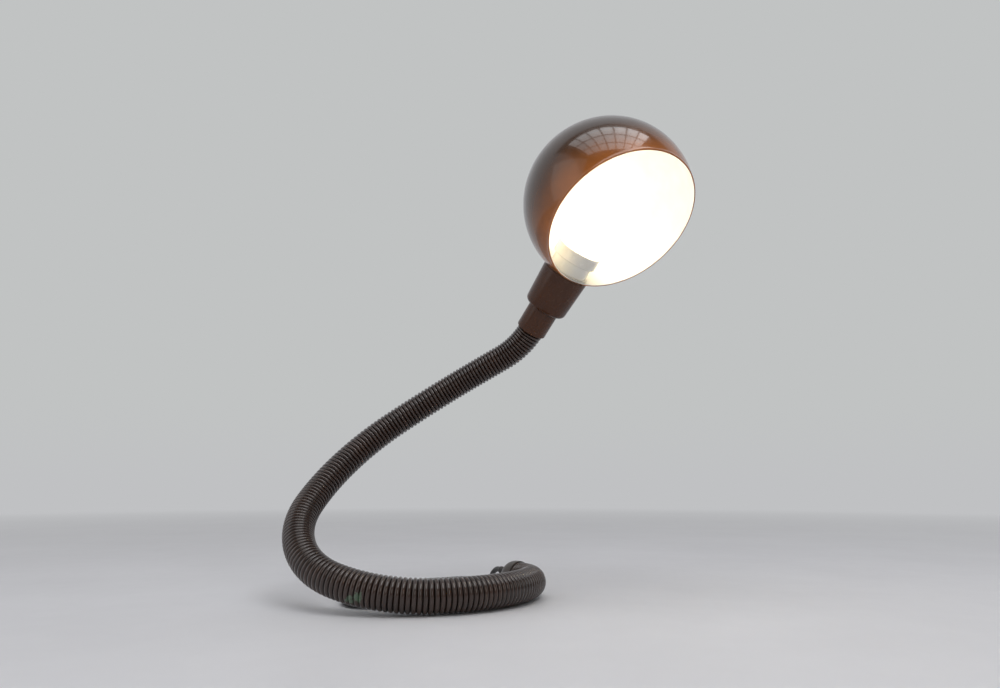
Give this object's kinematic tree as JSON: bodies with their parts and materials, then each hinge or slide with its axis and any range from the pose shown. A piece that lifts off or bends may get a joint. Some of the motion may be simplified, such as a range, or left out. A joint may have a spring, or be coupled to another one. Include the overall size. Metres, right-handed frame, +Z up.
{
  "type": "gooseneck desk lamp",
  "caption": "Desk lamp with a ball shade cut open at one side, on a thick ribbed flexible neck whose lower end lies curled on the table as its foot.",
  "frame": {"origin": "on the table, under the middle of the curled foot", "axes": "+Z up from the table, +X towards the side the head leans to, +Y to the back, away from the opening of the shade"},
  "size_m": [0.3822, 0.231, 0.4492],
  "materials": {
    "hose_pvc": "semi-matt ribbed sheath, very dark brown",
    "core_steel": "wound steel, bare",
    "lead_sheath": "satin black-brown sheath",
    "cap_plastic": "satin grey-brown moulding",
    "head_plastic": "gloss dark brown moulding",
    "shade_lacquer": "gloss dark brown lacquer outside, white inside",
    "seat_plastic": "matt off-white",
    "holder_white": "gloss white moulding",
    "fitting_steel": "plated, satin",
    "contact_brass": "bright brass",
    "bulb_glass": "clear glass",
    "bulb_metal": "satin",
    "bulb_black": "black vitrite glass",
    "bulb_wire": "tungsten, glowing",
    "cord_black": "satin black-brown",
    "switch_plastic": "satin dark brown moulding",
    "rocker_plastic": "satin brown moulding",
    "plug_plastic": "satin dark brown moulding",
    "pin_metal": "bright nickel plate"
  },
  "bodies": {
    "foot_tail": {"hose_tail": "hose_pvc", "core_tail": "core_steel", "lead_tail": "lead_sheath", "flex_tail": "hose_pvc", "end_cap": "cap_plastic", "strain_relief": "cap_plastic", "cord_to_switch": "cord_black", "cord_to_coil": "cord_black", "cord_coil": "cord_black", "cord_to_plug": "cord_black", "switch_base": "switch_plastic", "switch_cover": "switch_plastic", "rocker_pin": "fitting_steel", "switch_contacts": "contact_brass", "switch_screws": "fitting_steel", "plug_body": "plug_plastic", "plug_pins": "pin_metal"},
    "foot": {"hose_foot": "hose_pvc", "core_foot": "core_steel", "lead_foot": "lead_sheath", "flex_riser": "hose_pvc"},
    "neck_riser": {"hose_riser": "hose_pvc", "core_riser": "core_steel", "lead_riser": "lead_sheath", "flex_lower": "hose_pvc"},
    "neck_lower": {"hose_lower": "hose_pvc", "core_lower": "core_steel", "lead_lower": "lead_sheath", "flex_middle": "hose_pvc"},
    "neck_middle": {"hose_middle": "hose_pvc", "core_middle": "core_steel", "lead_middle": "lead_sheath", "flex_upper": "hose_pvc"},
    "neck_upper": {"hose_upper": "hose_pvc", "core_upper": "core_steel", "lead_upper": "lead_sheath", "flex_top": "hose_pvc"},
    "head": {"hose_top": "hose_pvc", "core_top": "core_steel", "lead_top": "lead_sheath", "neck_ferrule": "fitting_steel", "neck_sleeve": "head_plastic", "nipple_tube": "fitting_steel", "neck_cup": "head_plastic", "lock_nut": "fitting_steel", "shade": "shade_lacquer", "shade_seat": "seat_plastic", "lampholder": "holder_white", "screw_shell": "contact_brass", "centre_contact": "contact_brass", "terminal_screws": "fitting_steel", "bulb_glass": "bulb_glass", "bulb_cap": "bulb_metal", "bulb_insulator": "bulb_black", "bulb_contact": "bulb_metal", "bulb_stem": "bulb_glass", "bulb_filament": "bulb_wire"},
    "rocker": {"switch_rocker": "rocker_plastic"}
  },
  "joints": [
    {"name": "curl_bend", "type": "hinge", "parent": "foot_tail", "child": "foot", "pos_m": [0.06772, 0.04751, 0.01405], "axis": [0, 0, 1], "range_deg": [0, 35], "deforming": ["flex_tail", "core_tail", "core_foot", "lead_tail", "lead_foot"]},
    {"name": "neck_lift", "type": "hinge", "parent": "foot", "child": "neck_riser", "pos_m": [-0.08209, 0.00907, 0.02507], "axis": [0.4262, 0.9046, 0], "range_deg": [-8, 25], "deforming": ["flex_riser", "core_foot", "core_riser", "lead_foot", "lead_riser"]},
    {"name": "neck_swing", "type": "hinge", "parent": "neck_riser", "child": "neck_lower", "pos_m": [-0.12762, 0.06796, 0.06821], "axis": [0.0337, -0.6262, 0.7789], "range_deg": [-40, 40], "deforming": ["flex_lower", "core_riser", "core_lower", "lead_riser", "lead_lower"]},
    {"name": "neck_lean", "type": "hinge", "parent": "neck_lower", "child": "neck_middle", "pos_m": [-0.10088, 0.12488, 0.12318], "axis": [0.668, -0.7442, 0], "range_deg": [-25, 30], "deforming": ["flex_middle", "core_lower", "core_middle", "lead_lower", "lead_middle"]},
    {"name": "neck_sway", "type": "hinge", "parent": "neck_middle", "child": "neck_upper", "pos_m": [-0.03948, 0.14906, 0.17515], "axis": [-0.5552, -0.0648, 0.8292], "range_deg": [-40, 40], "deforming": ["flex_upper", "core_middle", "core_upper", "lead_middle", "lead_upper"]},
    {"name": "head_nod", "type": "hinge", "parent": "neck_upper", "child": "head", "pos_m": [0.02831, 0.14742, 0.21722], "axis": [-0.1563, -0.9877, 0], "range_deg": [-30, 30], "deforming": ["flex_top", "core_upper", "core_top", "lead_upper", "lead_top"]},
    {"name": "switch_rock", "type": "hinge", "parent": "foot_tail", "child": "rocker", "pos_m": [-0.082, 0.096, 0.0095], "axis": [-1, 0, 0], "range_deg": [-20, 0]}
  ]
}
